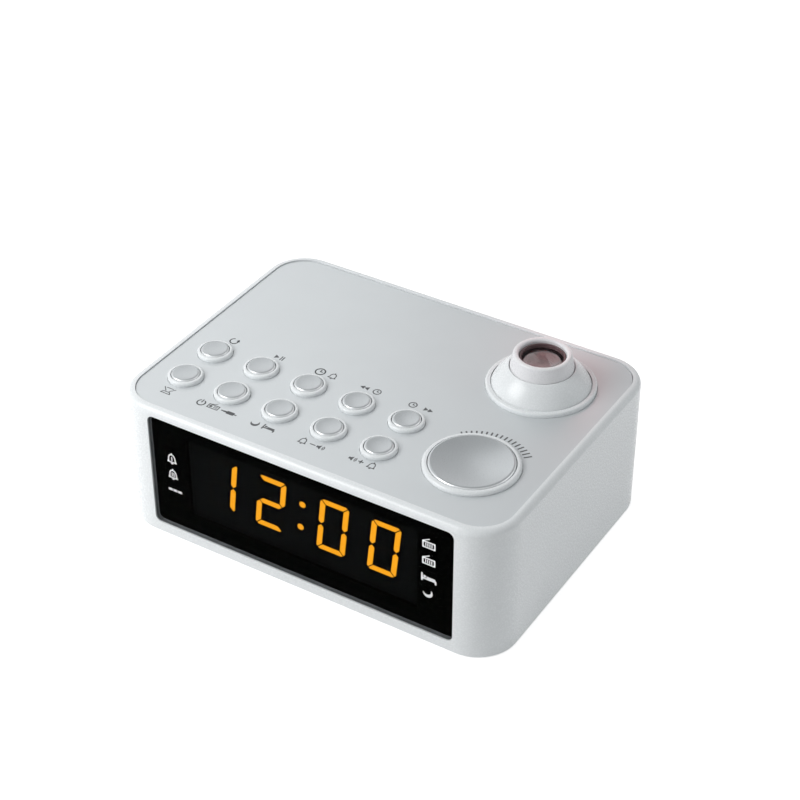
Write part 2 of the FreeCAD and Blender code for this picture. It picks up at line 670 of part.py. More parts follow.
def make_drive(top):
    cross = box(-DRIVE_R, DRIVE_R, -DRIVE_T / 2, DRIVE_T / 2, top - DRIVE_D, top)
    return cross.fuse(box(-DRIVE_T / 2, DRIVE_T / 2, -DRIVE_R, DRIVE_R, top - DRIVE_D, top))


def make_board_screws():
    screws = []
    for x, y in MAIN_POSTS:
        screws.append(placed(make_board_screw(), V(x, y, MAIN_TOP_Z), V(1, 0, 0), 0))
    for x, y in KEY_POSTS:
        screws.append(placed(make_board_screw(), V(x, y, KEY_BOARD_LOW_Z), V(1, 0, 0), 180))
    for x, z in display_posts():
        screws.append(placed(make_board_screw(), V(x, DISPLAY_BACK_Y + BOARD_T, z), V(1, 0, 0), -90))
    return screws


def placed(shape, at, axis, angle):
    shape.Placement = FreeCAD.Placement(at, FreeCAD.Rotation(axis, angle))
    return shape


def make_case_screw(x, y):
    seat = BASE_Z + COUNTERBORE_D
    head = rod(SCREW_HEAD_R, 0, 0, 0, SCREW_HEAD_H)
    head = head.makeFillet(SCREW_HEAD_H / 3, edges_at(head, SCREW_HEAD_H))
    screw = head.fuse(rod(SCREW_R, 0, 0, -SCREW_L, 0)).cut(make_drive(SCREW_HEAD_H)).removeSplitter()
    return placed(screw, V(x, y, seat), V(1, 0, 0), 180)


def make_cover():
    inset = WALL + INSET
    cover = slab(-INNER_X + INSET, INNER_X - INSET, INNER_FRONT_Y + INSET, INNER_BACK_Y - INSET,
                 BASE_Z, COVER_TOP_Z, CORNER_R - inset)
    add = [rod(MAIN_POST_R, x, y, COVER_TOP_Z - TOUCH, MAIN_LOW_Z) for x, y in MAIN_POSTS]
    add.append(box(BAY_X[0] - BAY_WALL, BAY_X[1] + BAY_WALL, BAY_Y[0] - BAY_WALL, BAY_Y[1] + BAY_WALL,
                   COVER_TOP_Z - TOUCH, BAY_TOP_Z + BAY_WALL))
    holes = [rod(BOARD_SCREW_R, x, y, MAIN_LOW_Z - BOARD_PILOT_DEPTH, MAIN_LOW_Z) for x, y in MAIN_POSTS]
    for x, y in four(BOSS_X, BOSS_Y):
        holes.append(rod(SCREW_HOLE_R, x, y, BASE_Z, COVER_TOP_Z))
        holes.append(rod(COUNTERBORE_R, x, y, BASE_Z, BASE_Z + COUNTERBORE_D))
    for x, y in four(FOOT_X, FOOT_Y):
        holes.append(rod(FOOT_R + INSET, x, y, BASE_Z, BASE_Z + FOOT_SEAT))
    for index in range(VENT_COUNT):
        y = VENT_Y + (index - (VENT_COUNT - 1) / 2) * VENT_PITCH
        holes.append(slab(VENT_X - VENT_L / 2, VENT_X + VENT_L / 2, y - VENT_W / 2, y + VENT_W / 2,
                          BASE_Z, COVER_TOP_Z, VENT_W * SLOT_ROUND))

    # Bay for the cells, the door's seat and the holes for its two pins
    holes.append(box(BAY_X[0], BAY_X[1], BAY_Y[0], BAY_Y[1], BASE_Z, BAY_TOP_Z))
    x0, x1, y0, y1 = door_outline()
    holes.append(box(x0 - CLEAR, x1 + CLEAR, y0 - CLEAR, y1 + CLEAR, BASE_Z, DOOR_TOP_Z + CLEAR))
    y, z = door_axis()
    holes.append(rod_x(DOOR_PIN_R + RUNNING, x0 - DOOR_PIN_L - CLEAR, x1 + DOOR_PIN_L + CLEAR, y, z))
    return cover.fuse(add).cut(holes).removeSplitter()


def door_outline():
    return (BAY_X[0] - DOOR_MARGIN, BAY_X[1] + DOOR_MARGIN, BAY_Y[0] - DOOR_MARGIN, BAY_Y[1] + DOOR_MARGIN)


def door_axis():
    return (door_outline()[3] - DOOR_T / 2, DOOR_LOW_Z + DOOR_T / 2)


def make_door():
    x0, x1, y0, y1 = door_outline()
    y, z = door_axis()
    plate = box(x0, x1, y0, y, DOOR_LOW_Z, DOOR_TOP_Z).fuse(rod_x(DOOR_T / 2, x0, x1, y, z))
    plate = plate.fuse(rod_x(DOOR_PIN_R, x0 - DOOR_PIN_L, x1 + DOOR_PIN_L, y, z))
    middle = (x0 + x1) / 2
    grips = []
    for index in range(DOOR_GRIPS):
        edge = y0 + (index + 1) * DOOR_T
        grips.append(box(middle - DOOR_GRIP_W / 2, middle + DOOR_GRIP_W / 2, edge, edge + DOOR_T / 2,
                         DOOR_LOW_Z, DOOR_LOW_Z + DOOR_GRIP_D))
    return plate.cut(grips).removeSplitter()


def both_ways(shapes):
    # The bay holds its two cells head to tail, so one side is the other turned half round.
    middle = V(BAY_MIDDLE[0], BAY_MIDDLE[1], 0)
    turned_shapes = [shape.copy() for shape in shapes]
    for shape in turned_shapes:
        shape.rotate(middle, UP, 180)
    return shapes + turned_shapes


def make_cells():
    end = CELL_X + CELL_BODY_L
    cell = rod_x(CELL_BODY_R, CELL_X, end, CELL_Y, CELL_Z)
    cell = cell.makeFillet(CELL_BODY_EDGE_R, [edge for edge in cell.Edges if edge.BoundBox.XLength < TOUCH])
    nub = rod_x(CELL_NUB_R, end - TOUCH, end + CELL_NUB_L, CELL_Y, CELL_Z)
    return both_ways([cell.fuse(nub).removeSplitter()])


def make_contacts():
    half = CONTACT_W / 2
    low = CELL_Z - half
    high = CELL_Z + half
    far_x = BAY_X[1] - CONTACT_T
    near = box(BAY_X[0], BAY_X[0] + CONTACT_T, CELL_Y - half, CELL_Y + half, low, high)
    far = box(far_x, BAY_X[1], CELL_Y - half, CELL_Y + half, low, high)
    far = far.fuse(rod_x(CELL_NUB_R, far_x - CONTACT_STUB_L, far_x, CELL_Y, CELL_Z))
    return both_ways([near, far.removeSplitter(), make_spring()])


def make_spring():
    # A coil of six-sided wire, swept along a helix and laid along X.
    length = SPRING_L - 2 * SPRING_WIRE_R
    helix = Part.makeHelix(length / SPRING_TURNS, length, SPRING_R)
    corners = [V(SPRING_R + SPRING_WIRE_R * math.cos(angle), 0, SPRING_WIRE_R * math.sin(angle))
               for angle in [math.radians(60 * step) for step in range(7)]]
    coil = Part.Wire(helix).makePipeShell([Part.makePolygon(corners)], True, True)
    return placed(coil, V(CELL_X - SPRING_L + SPRING_WIRE_R, CELL_Y, CELL_Z), V(0, 1, 0), 90)


def make_feet():
    feet = []
    for x, y in four(FOOT_X, FOOT_Y):
        foot = rod(FOOT_R, x, y, 0, BASE_Z + FOOT_SEAT)
        feet.append(foot.makeFillet(BASE_Z / 2, edges_at(foot, 0)))
    return feet


def make_projector_ring():
    flange_low = DECK_TOP_Z - RING_FLANGE_T
    ring = rod(RING_R, PROJ_X, PROJ_Y, flange_low, PANEL_TOP_Z + RING_RISE)
    ring = ring.makeFillet(RING_FILLET, edges_at(ring, PANEL_TOP_Z + RING_RISE))
    ring = ring.fuse(rod(RING_FLANGE_R, PROJ_X, PROJ_Y, flange_low, DECK_TOP_Z - TOUCH))
    return ring.cut(Part.makeSphere(BALL_R + CLEAR, V(PROJ_X, PROJ_Y, BALL_Z))).removeSplitter()


def make_cradle():
    outer = WELL_BORE_R - CLEAR
    cradle = pipe(outer, outer - CRADLE_WALL, PROJ_X, PROJ_Y, WELL_LOW_Z + CLEAR, DECK_LOW_Z - CLEAR)
    bearing = rod_x(TRUNNION_R + RUNNING, PROJ_X - WELL_BORE_R, PROJ_X + WELL_BORE_R, PROJ_Y, BALL_Z)
    return cradle.cut(bearing)


def make_retainer():
    return pipe(WELL_R, RETAINER_BORE_R, PROJ_X, PROJ_Y, WELL_LOW_Z - RETAINER_T, WELL_LOW_Z)


def make_head():
    centre = V(PROJ_X, PROJ_Y, BALL_Z)
    low = BALL_Z - BALL_SKIRT
    ball = Part.makeSphere(BALL_R, centre).common(rod(BALL_R, PROJ_X, PROJ_Y, low, HEAD_TOP_Z))
    ball = ball.cut(Part.makeSphere(BALL_R - BALL_WALL, centre))
    sleeve = rod(HEAD_BORE_R + HEAD_TUBE_WALL, PROJ_X, PROJ_Y, HEAD_STEP_Z - STEP_T, HEAD_TOP_Z)
    sleeve = sleeve.common(Part.makeSphere(BALL_R, centre))
    tube = rod(TUBE_R, PROJ_X, PROJ_Y, TUBE_LOW_Z, HEAD_STEP_Z)
    head = ball.fuse([sleeve, tube])
    reach = WELL_BORE_R - 2 * CLEAR
    for side in (-1, 1):
        x0 = PROJ_X + side * TRUNNION_IN_R
        x1 = PROJ_X + side * reach
        head = head.fuse(rod_x(TRUNNION_R, min(x0, x1), max(x0, x1), PROJ_Y, BALL_Z))
    web = box(PROJ_X - BALL_R + BALL_WALL / 2, PROJ_X + BALL_R - BALL_WALL / 2, PROJ_Y - BALL_WALL / 2,
              PROJ_Y + BALL_WALL / 2, low, BALL_Z)
    head = head.fuse(web.common(Part.makeSphere(BALL_R, centre)))
    head = head.cut([rod(HEAD_BORE_R, PROJ_X, PROJ_Y, HEAD_STEP_Z, HEAD_TOP_Z + WALL),
                     rod(BARREL_BORE_R, PROJ_X, PROJ_Y, TUBE_LOW_Z, HEAD_TOP_Z)])
    return head.removeSplitter()


def make_barrel():
    low = HEAD_STEP_Z + CLEAR
    points = [(BARREL_BORE_R, low), (BARREL_R, low), (BARREL_R, HEAD_TOP_Z), (BARREL_TOP_R, BARREL_TOP_Z),
              (BARREL_BORE_R, BARREL_TOP_Z)]
    barrel = turned(points, PROJ_X, PROJ_Y)
    return barrel.makeFillet(BARREL_LIP, edges_at(barrel, BARREL_TOP_Z))


def make_lens_cell():
    top = BARREL_TOP_Z - CELL_RECESS
    cell = pipe(CELL_R, CELL_BORE_R, PROJ_X, PROJ_Y, top - CELL_L, top)
    ledge = top - LENS_DROP - LENS_T
    return cell.fuse(pipe(CELL_R - RUNNING, CELL_BORE_R - LENS_BULGE, PROJ_X, PROJ_Y,
                          ledge - LENS_BULGE, ledge)).removeSplitter()


def make_lens():
    low = BARREL_TOP_Z - CELL_RECESS - LENS_DROP - LENS_T
    radius = CELL_BORE_R - RUNNING
    brim = low + LENS_T - LENS_BULGE
    flat = rod(radius, PROJ_X, PROJ_Y, low, brim)
    return flat.fuse(cap_of_ball(radius, LENS_BULGE, PROJ_X, PROJ_Y, brim)).removeSplitter()


def make_lcd():
    half = LCD_W / 2
    return box(PROJ_X - half, PROJ_X + half, PROJ_Y - half, PROJ_Y + half, LCD_Z, LCD_Z + LCD_T)


def make_condenser():
    radius = BARREL_BORE_R - RUNNING
    flat = rod(radius, PROJ_X, PROJ_Y, CONDENSER_Z, CONDENSER_Z + CONDENSER_T - CONDENSER_BULGE)
    dome = cap_of_ball(radius, CONDENSER_BULGE, PROJ_X, PROJ_Y, CONDENSER_Z + CONDENSER_T - CONDENSER_BULGE)
    return flat.fuse(dome).removeSplitter()


def make_led_holder():
    plug = rod(BARREL_BORE_R - RUNNING, PROJ_X, PROJ_Y, TUBE_LOW_Z, TUBE_LOW_Z + HOLDER_H)
    lip = rod(TUBE_R, PROJ_X, PROJ_Y, TUBE_LOW_Z - HOLDER_LIP_T, TUBE_LOW_Z)
    return plug.fuse(lip).removeSplitter()


def make_led():
    low = TUBE_LOW_Z + HOLDER_H
    body = rod(LED_R, PROJ_X, PROJ_Y, low, low + LED_H - LED_R)
    dome = Part.makeSphere(LED_R, V(PROJ_X, PROJ_Y, low + LED_H - LED_R))
    return body.fuse([dome, rod(LED_FLANGE_R, PROJ_X, PROJ_Y, low, low + LED_FLANGE_T)]).removeSplitter()


def make_dc_jack():
    back = INNER_BACK_Y - INSET
    half = DC_W / 2
    body = box(DC_X - half, DC_X + half, back - DC_D, back, MAIN_TOP_Z, SOCKET_Z + half)
    body = body.cut(rod_y(DC_BORE_R, DC_X, SOCKET_Z, back - DC_BORE_L, back))
    pin = rod_y(DC_PIN_R, DC_X, SOCKET_Z, back - DC_BORE_L - TOUCH, back - DC_PIN_R)
    return body.fuse(pin).removeSplitter()


def make_aux_jack():
    back = INNER_BACK_Y - INSET
    half = AUX_W / 2
    body = box(AUX_X - half, AUX_X + half, back - AUX_D, back, MAIN_TOP_Z, SOCKET_Z + half)
    body = body.fuse(rod_y(AUX_COLLAR_R, AUX_X, SOCKET_Z, back - TOUCH, BACK_Y - INSET))
    return body.cut(rod_y(AUX_BORE_R, AUX_X, SOCKET_Z, back - AUX_D + WALL, BACK_Y)).removeSplitter()


def make_gland():
    neck = rod_y(GLAND_R - RUNNING, GLAND_X, GLAND_Z, INNER_BACK_Y - GLAND_FLANGE_T, BACK_Y - INSET)
    flange = rod_y(GLAND_FLANGE_R, GLAND_X, GLAND_Z, INNER_BACK_Y - GLAND_FLANGE_T, INNER_BACK_Y - RUNNING)
    bore = rod_y(GLAND_BORE_R, GLAND_X, GLAND_Z, INNER_BACK_Y - WALL, BACK_Y)
    return neck.fuse(flange).cut(bore).removeSplitter()


def make_speaker_frame():
    back = INNER_BACK_Y - TOUCH
    sheet = SPEAKER_SHEET
    rim_in = SPEAKER_R - SPEAKER_RIM_W
    plate = back - SPEAKER_DEPTH
    points = [(SPEAKER_R, back), (SPEAKER_R, back - SPEAKER_RIM_T), (rim_in + sheet, back - SPEAKER_RIM_T),
              (SPEAKER_PLATE_R + sheet, plate), (CONE_NECK_R + sheet, plate),
              (CONE_NECK_R + sheet, plate + sheet), (SPEAKER_PLATE_R, plate + sheet),
              (rim_in, back - SPEAKER_RIM_T + sheet), (rim_in, back)]
    return turned_y(points, SPEAKER_X, SPEAKER_Z)


def make_speaker_cone():
    back = INNER_BACK_Y - TOUCH
    front = back - SPEAKER_RIM_T + SPEAKER_SHEET + CONE_T
    deep = front - CONE_DEPTH
    rim_in = SPEAKER_R - SPEAKER_RIM_W - RUNNING
    points = [(rim_in, front), (rim_in, front - CONE_T), (CONE_R, front - CONE_SURROUND_H),
              (CONE_NECK_R, deep - CONE_T), (CONE_NECK_R - CONE_T, deep - CONE_T),
              (CONE_NECK_R - CONE_T, deep), (CONE_R - CONE_T, front - CONE_SURROUND_H + CONE_T)]
    cone = turned_y(points, SPEAKER_X, SPEAKER_Z)
    coil = rod_y(CONE_NECK_R, SPEAKER_X, SPEAKER_Z, back - SPEAKER_DEPTH, deep)
    dome = Part.makeSphere(CAP_R, V(SPEAKER_X, deep - CAP_SINK, SPEAKER_Z))
    dome = dome.common(rod_y(CAP_R, SPEAKER_X, SPEAKER_Z, deep, front))
    return cone.fuse([coil, dome]).removeSplitter()


def make_magnet():
    plate = INNER_BACK_Y - TOUCH - SPEAKER_DEPTH
    magnet = rod_y(MAGNET_R, SPEAKER_X, SPEAKER_Z, plate - MAGNET_T, plate)
    return magnet.makeFillet(MAGNET_EDGE_R, [edge for edge in magnet.Edges
                                             if edge.BoundBox.YMax < plate - MAGNET_T + TOUCH])


def make_shield():
    x = MAIN_X[0] + SHIELD_FROM_CORNER[0]
    y = MAIN_Y[0] + SHIELD_FROM_CORNER[1]
    shield = slab(x - SHIELD_W / 2, x + SHIELD_W / 2, y - SHIELD_D / 2, y + SHIELD_D / 2,
                  MAIN_TOP_Z, MAIN_TOP_Z + SHIELD_H, SHIELD_CORNER_R)
    return shield


def make_chip():
    x, y = CHIP_AT
    low = MAIN_TOP_Z + CHIP_LIFT
    body = box(x - CHIP_W / 2, x + CHIP_W / 2, y - CHIP_D / 2, y + CHIP_D / 2, low, low + CHIP_H)
    legs = []
    pitch = CHIP_W / CHIP_LEGS
    for index in range(CHIP_LEGS):
        leg_x = x + (index - (CHIP_LEGS - 1) / 2) * pitch
        for side in (-1, 1):
            near = y + side * (CHIP_D / 2 - CHIP_LEG_T)
            far = y + side * (CHIP_D / 2 + CHIP_LEG_T)
            legs.append(box(leg_x - CHIP_LEG_W / 2, leg_x + CHIP_LEG_W / 2, min(near, far), max(near, far),
                            MAIN_TOP_Z, low + CHIP_H / 2))
    return body.fuse(legs).removeSplitter()


def make_capacitors():
    cans = []
    for x, y, radius, height in CAPACITORS:
        can = rod(radius, x, y, MAIN_TOP_Z, MAIN_TOP_Z + height)
        cans.append(can.makeFillet(CAPACITOR_EDGE_R, edges_at(can, MAIN_TOP_Z + height)))
    return cans


def main():
    os.makedirs("parts", exist_ok=True)
    lit = make_colon()
    dark = []
    for x, names in zip(DIGIT_X, LIT):
        for name in "abcdefg":
            (lit if name in names else dark).append(make_segment(x, name))

    save("cabinet", make_cabinet())
    save("top_panel", make_top_panel())
    save("bottom_cover", make_cover())
    save("battery_door", make_door())
    save("rubber_feet", make_feet())
    save("case_screws", [make_case_screw(x, y) for x, y in four(BOSS_X, BOSS_Y)])
    save("display_window", make_window())
    save("display_mask", make_mask())
    save("led_display", make_display(lit + dark))
    save("segments_lit", lit)
    save("segments_dark", dark)
    save("display_board", make_display_board())
    save("key_board", make_key_board())
    switches = [make_switch(x, y) for _, _, x, y in KEYS] + [make_switch(SNOOZE_X, SNOOZE_Y)]
    save("tact_switches", switches)
    save("main_board", make_main_board())
    save("board_screws", make_board_screws())
    save("tuner_shield", make_shield())
    save("main_chip", make_chip())
    save("capacitors", make_capacitors())
    save("dc_jack", make_dc_jack())
    save("aux_jack", make_aux_jack())
    save("aerial_gland", make_gland())
    save("speaker_frame", make_speaker_frame())
    save("speaker_cone", make_speaker_cone())
    save("speaker_magnet", make_magnet())
    save("backup_cells", make_cells())
    save("cell_contacts", make_contacts())
    for row, number, x, y in KEYS:
        save("key_%s%d" % (row, number), make_key(x, y, KEY_BORE_R, KEY_DISH, GUIDE_LOW_Z - TOUCH))
        save("plunger_%s%d" % (row, number), make_plunger(x, y))
    save("snooze_key", make_key(SNOOZE_X, SNOOZE_Y, SNOOZE_BORE_R, SNOOZE_DISH, GUIDE_LOW_Z - TOUCH))
    save("snooze_plunger", make_plunger(SNOOZE_X, SNOOZE_Y))
    save("projector_ring", make_projector_ring())
    save("swivel_cradle", make_cradle())
    save("swivel_retainer", make_retainer())
    save("projector_head", make_head())
    save("focus_barrel", make_barrel())
    save("lens_cell", make_lens_cell())
    save("projection_lens", make_lens())
    save("lcd_slide", make_lcd())
    save("condenser_lens", make_condenser())
    save("led_holder", make_led_holder())
    save("projector_led", make_led())


main()
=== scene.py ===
import math

import bmesh
import bpy
from mathutils import Matrix, Vector


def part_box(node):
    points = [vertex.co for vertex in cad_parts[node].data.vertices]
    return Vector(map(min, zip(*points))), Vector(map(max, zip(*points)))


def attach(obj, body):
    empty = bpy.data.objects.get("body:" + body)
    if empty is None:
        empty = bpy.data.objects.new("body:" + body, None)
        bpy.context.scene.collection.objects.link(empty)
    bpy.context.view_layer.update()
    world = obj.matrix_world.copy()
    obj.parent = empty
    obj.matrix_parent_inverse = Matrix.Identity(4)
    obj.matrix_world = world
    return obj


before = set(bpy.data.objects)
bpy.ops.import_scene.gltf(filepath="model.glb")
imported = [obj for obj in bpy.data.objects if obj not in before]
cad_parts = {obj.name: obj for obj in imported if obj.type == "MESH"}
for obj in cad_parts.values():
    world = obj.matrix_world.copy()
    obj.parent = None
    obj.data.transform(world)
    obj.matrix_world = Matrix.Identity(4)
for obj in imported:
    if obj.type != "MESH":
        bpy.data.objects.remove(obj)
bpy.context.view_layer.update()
MM = 0.001
CASE = "case"


# Camera, fitted to the photograph: azimuth, elevation, offsets and distance in metres
AZ = math.radians(31.675)
EL = math.radians(35.770)
CAMERA_RIGHT = 0.005441
CAMERA_UP = 0.038558
CAMERA_BACK = 0.746090
SENSOR_MM = 36.0
LENS_MM = 88.83
right = Vector((math.cos(AZ), math.sin(AZ), 0))
up = Vector((-math.sin(EL) * math.sin(AZ), -math.sin(EL) * -math.cos(AZ), math.cos(EL)))
back = Vector((math.sin(AZ) * math.cos(EL), -math.cos(AZ) * math.cos(EL), math.sin(EL)))
cam_data = bpy.data.cameras.new("photo_camera")
cam_data.sensor_width = SENSOR_MM
cam_data.lens = LENS_MM
cam_data.clip_start = 0.01
cam_data.clip_end = 50.0
cam = bpy.data.objects.new("photo_camera", cam_data)
spot = right * CAMERA_RIGHT + up * CAMERA_UP + back * CAMERA_BACK
cam.matrix_world = Matrix.Translation(spot) @ Matrix((right, up, back)).transposed().to_4x4()
bpy.context.scene.collection.objects.link(cam)
bpy.context.scene.camera = cam


# Node helpers, with the span of a noise texture that is used, and the sockets of a colour mix
NOISE_LOW = 0.3
NOISE_HIGH = 0.7
BUMP_DEPTH = 0.0002
COAT_ROUGHNESS = 0.08
SMOOTHEST = 0.02
MIX_FACTOR = 0
MIX_A = 6
MIX_B = 7
MIX_RESULT = 2


def new_material(name):
    mat = bpy.data.materials.new(name)
    mat.use_nodes = True
    nodes = mat.node_tree.nodes
    nodes.clear()
    out = nodes.new("ShaderNodeOutputMaterial")
    shader = nodes.new("ShaderNodeBsdfPrincipled")
    mat.node_tree.links.new(shader.outputs[0], out.inputs["Surface"])
    return mat, nodes, mat.node_tree.links, shader


def noise(nodes, links, coord, scale, detail=3.0, rough=0.55, stretch=None):
    tex = nodes.new("ShaderNodeTexNoise")
    tex.inputs["Scale"].default_value = scale
    tex.inputs["Detail"].default_value = detail
    tex.inputs["Roughness"].default_value = rough
    source = coord
    if stretch:
        mapping = nodes.new("ShaderNodeMapping")
        mapping.inputs["Scale"].default_value = stretch
        links.new(coord, mapping.inputs["Vector"])
        source = mapping.outputs[0]
    links.new(source, tex.inputs["Vector"])
    return tex.outputs["Fac"]


def spread(nodes, links, fac, low, high):
    ramp = nodes.new("ShaderNodeMapRange")
    ramp.inputs["From Min"].default_value = NOISE_LOW
    ramp.inputs["From Max"].default_value = NOISE_HIGH
    ramp.inputs["To Min"].default_value = low
    ramp.inputs["To Max"].default_value = high
    links.new(fac, ramp.inputs["Value"])
    return ramp.outputs[0]


def tint(nodes, links, fac, dark, light):
    ramp = nodes.new("ShaderNodeValToRGB")
    ramp.color_ramp.elements[0].position = NOISE_LOW
    ramp.color_ramp.elements[1].position = NOISE_HIGH
    ramp.color_ramp.elements[0].color = (*dark, 1)
    ramp.color_ramp.elements[1].color = (*light, 1)
    links.new(fac, ramp.inputs["Fac"])
    return ramp.outputs["Color"]


def shade(color, factor):
    return tuple(min(1.0, channel * factor) for channel in color)


def add_bump(nodes, links, shader, fac, strength):
    node = nodes.new("ShaderNodeBump")
    node.inputs["Strength"].default_value = strength
    node.inputs["Distance"].default_value = BUMP_DEPTH
    links.new(fac, node.inputs["Height"])
    links.new(node.outputs[0], shader.inputs["Normal"])


def mix_color(nodes, links, factor, first, second):
    # A mix of two colours. Each is a tuple or the output of another node.
    mix = nodes.new("ShaderNodeMix")
    mix.data_type = "RGBA"
    links.new(factor, mix.inputs[MIX_FACTOR])
    for index, color in ((MIX_A, first), (MIX_B, second)):
        if isinstance(color, tuple):
            mix.inputs[index].default_value = (*color, 1)
        else:
            links.new(color, mix.inputs[index])
    return mix.outputs[MIX_RESULT]


def surface(name, color, rough, vary=0.03, rough_vary=0.05, grain=2200.0, bump=0.02, stretch=None,
            broad=45.0, coat=0.0, **fixed):
    # A moulded, sprayed or plated surface: broad tone changes, a fine grain and a roughness that follows it.
    mat, nodes, links, shader = new_material(name)
    coord = nodes.new("ShaderNodeTexCoord").outputs["Object"]
    wide = noise(nodes, links, coord, broad, 2.0)
    fine = noise(nodes, links, coord, grain, 4.0, 0.6, stretch)
    tone = tint(nodes, links, wide, shade(color, 1 - vary), shade(color, 1 + vary))
    links.new(tone, shader.inputs["Base Color"])
    links.new(spread(nodes, links, fine, max(SMOOTHEST, rough - rough_vary), rough + rough_vary),
              shader.inputs["Roughness"])
    add_bump(nodes, links, shader, fine, bump)
    if coat:
        shader.inputs["Coat Weight"].default_value = coat
        shader.inputs["Coat Roughness"].default_value = COAT_ROUGHNESS
    for key, value in fixed.items():
        shader.inputs[key.replace("_", " ")].default_value = value
    return mat


def spray_with_edge_highlight(name, top, edge, rough, metallic):
    # Grey spray on the top face. It ends on the rounded edge, which is coloured pale as a painted highlight
    # where the fillet catches the light.
    edge_normal_z = 0.70
    top_normal_z = 0.93
    mat, nodes, links, shader = new_material(name)
    coords = nodes.new("ShaderNodeTexCoord")
    coord = coords.outputs["Object"]
    fine = noise(nodes, links, coord, 5200.0, 4.0, 0.6)
    wide = noise(nodes, links, coord, 60.0, 2.0)
    split = nodes.new("ShaderNodeSeparateXYZ")
    links.new(coords.outputs["Normal"], split.inputs[0])
    face = nodes.new("ShaderNodeMapRange")
    face.inputs["From Min"].default_value = edge_normal_z
    face.inputs["From Max"].default_value = top_normal_z
    links.new(split.outputs["Z"], face.inputs["Value"])
    sprayed = tint(nodes, links, wide, shade(top, 0.985), shade(top, 1.015))
    links.new(mix_color(nodes, links, face.outputs[0], edge, sprayed), shader.inputs["Base Color"])
    links.new(spread(nodes, links, fine, rough - 0.04, rough + 0.04), shader.inputs["Roughness"])
    add_bump(nodes, links, shader, fine, 0.04)
    shader.inputs["Metallic"].default_value = metallic
    return mat


def glow(name, color, strength, dark):
    # A lit piece: an even glow with a slightly darker grain.
    mat, nodes, links, shader = new_material(name)
    coord = nodes.new("ShaderNodeTexCoord").outputs["Object"]
    fac = noise(nodes, links, coord, 900.0, 2.0)
    links.new(tint(nodes, links, fac, shade(color, 0.93), color), shader.inputs["Emission Color"])
    shader.inputs["Emission Strength"].default_value = strength
    shader.inputs["Base Color"].default_value = (*dark, 1)
    shader.inputs["Roughness"].default_value = 0.4
    return mat


def clear(name, color, ior, rough, scratch):
    # Clear or smoked plastic and glass, with faint differences of polish.
    mat, nodes, links, shader = new_material(name)
    coord = nodes.new("ShaderNodeTexCoord").outputs["Object"]
    fac = noise(nodes, links, coord, 120.0, 3.0)
    links.new(spread(nodes, links, fac, rough, rough + scratch), shader.inputs["Roughness"])
    links.new(tint(nodes, links, fac, shade(color, 0.98), color), shader.inputs["Base Color"])
    shader.inputs["Transmission Weight"].default_value = 1.0
    shader.inputs["IOR"].default_value = ior
    return mat


# One material for each finish
KEY_SPRAY = (0.50, 0.525, 0.54)
# The pale colour on the rounded key edges is a painted highlight.
KEY_EDGE_HIGHLIGHT = (0.86, 0.88, 0.89)
mats = {}
mats["white"] = surface("white_abs", (0.86, 0.885, 0.895), 0.27, vary=0.008, rough_vary=0.03,
                        grain=1800.0, bump=0.012)
mats["silver"] = surface("silver_spray", (0.66, 0.69, 0.705), 0.38, vary=0.012, rough_vary=0.05,
                         grain=5200.0, bump=0.05, Metallic=0.3)
mats["key"] = spray_with_edge_highlight("key_spray", KEY_SPRAY, KEY_EDGE_HIGHLIGHT, 0.30, 0.35)
mats["snooze"] = spray_with_edge_highlight("snooze_spray_edge_highlight", KEY_SPRAY, KEY_EDGE_HIGHLIGHT, 0.30, 0.4)
mats["rubber"] = surface("foot_rubber", (0.03, 0.03, 0.032), 0.75, vary=0.12, grain=1500.0, bump=0.25)
mats["steel"] = surface("zinc_steel", (0.60, 0.60, 0.59), 0.30, vary=0.06, grain=1600.0, bump=0.08,
                        Metallic=1.0)
mats["tin"] = surface("tin_plate", (0.66, 0.67, 0.67), 0.34, vary=0.05, grain=900.0, bump=0.08,
                      stretch=(1, 12, 1), Metallic=1.0)
mats["mask"] = surface("mask_black", (0.004, 0.004, 0.0045), 0.6, vary=0.1, grain=1500.0, bump=0.01,
                       Specular_IOR_Level=0.0)
mats["block"] = surface("display_black", (0.020, 0.022, 0.023), 0.55, vary=0.06, grain=1500.0, bump=0.01,
                        Specular_IOR_Level=0.0)
mats["unlit"] = surface("segment_unlit", (0.024, 0.023, 0.021), 0.45, vary=0.06, grain=900.0, bump=0.01,
                        Specular_IOR_Level=0.0)
mats["board"] = surface("board_mask", (0.02, 0.13, 0.05), 0.32, vary=0.10, grain=420.0, bump=0.12, coat=0.4)
mats["black"] = surface("moulded_black", (0.018, 0.018, 0.019), 0.5, vary=0.1, grain=1800.0, bump=0.1)
mats["chip"] = surface("chip_epoxy", (0.022, 0.022, 0.023), 0.6, vary=0.1, grain=2600.0, bump=0.2)
mats["sleeve"] = surface("capacitor_sleeve", (0.01, 0.02, 0.07), 0.25, vary=0.1, grain=700.0, bump=0.03,
                         coat=0.4)
mats["basket"] = surface("basket_paint", (0.035, 0.035, 0.038), 0.42, vary=0.08, grain=1200.0, bump=0.1)
mats["cone"] = surface("cone_paper", (0.022, 0.022, 0.023), 0.85, vary=0.2, grain=700.0, bump=0.5)
mats["ferrite"] = surface("magnet_ferrite", (0.045, 0.045, 0.048), 0.7, vary=0.15, grain=900.0, bump=0.3)
mats["cell"] = surface("cell_jacket", (0.10, 0.14, 0.20), 0.28, vary=0.05, grain=500.0, bump=0.02, coat=0.5)
mats["spring"] = surface("nickel_spring", (0.72, 0.70, 0.66), 0.25, vary=0.05, grain=1400.0, bump=0.05,
                         Metallic=1.0)
mats["barrel"] = surface("barrel_white", (0.88, 0.875, 0.89), 0.28, vary=0.008, rough_vary=0.03,
                         grain=1800.0, bump=0.03)
mats["plum"] = surface("lens_cell_plum", (0.15, 0.095, 0.10), 0.25, vary=0.1, grain=1500.0, bump=0.05)
mats["ink"] = surface("ink_grey", (0.10, 0.105, 0.11), 0.55, vary=0.08, grain=2600.0, bump=0.02)
